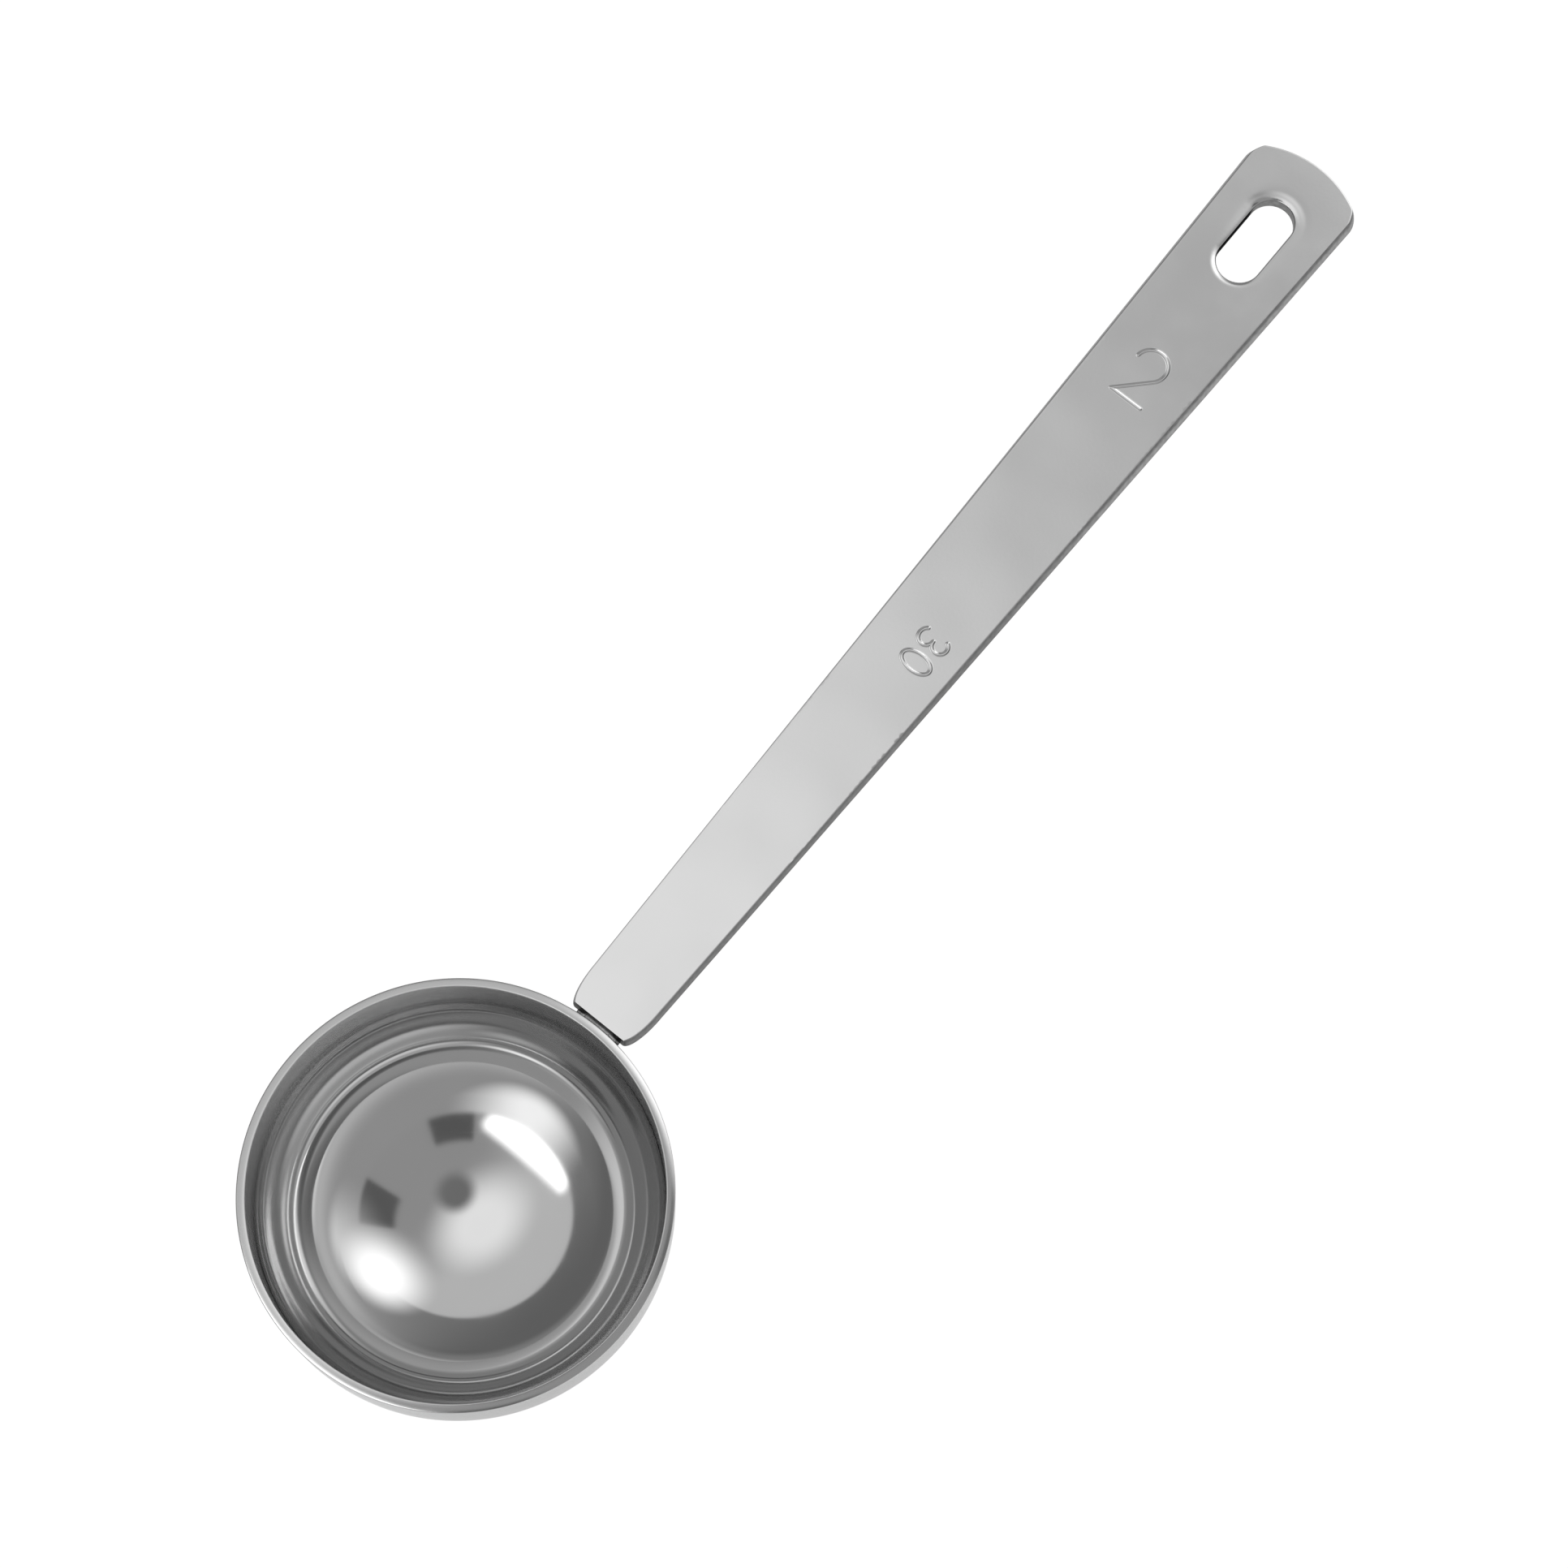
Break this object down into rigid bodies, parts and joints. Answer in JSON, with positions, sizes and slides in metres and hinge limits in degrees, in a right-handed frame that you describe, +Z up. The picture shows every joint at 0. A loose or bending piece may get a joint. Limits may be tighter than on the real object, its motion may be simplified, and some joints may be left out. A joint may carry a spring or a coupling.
{
  "type": "coffee scoop",
  "caption": "Deep round steel scoop for ground coffee, with a long flat handle that widens towards a bowed tip with a hanging slot.",
  "frame": {"origin": "on the table, under the middle of the scoop's bounding box as it lies on its bowl and its handle's tip", "axes": "+X along the handle, from the bowl towards the tip; +Z up from the table; the scoop is alike on both sides of the XZ plane"},
  "size_m": [0.1796, 0.048, 0.0269],
  "materials": {
    "bowl_steel": "mirror polished stainless steel",
    "handle_steel": "mirror polished stainless steel",
    "weld_steel": "dressed weld, duller than the sheet"
  },
  "bodies": {
    "root": {"bowl": "bowl_steel", "handle": "handle_steel", "weld_bead": "weld_steel"}
  },
  "joints": []
}
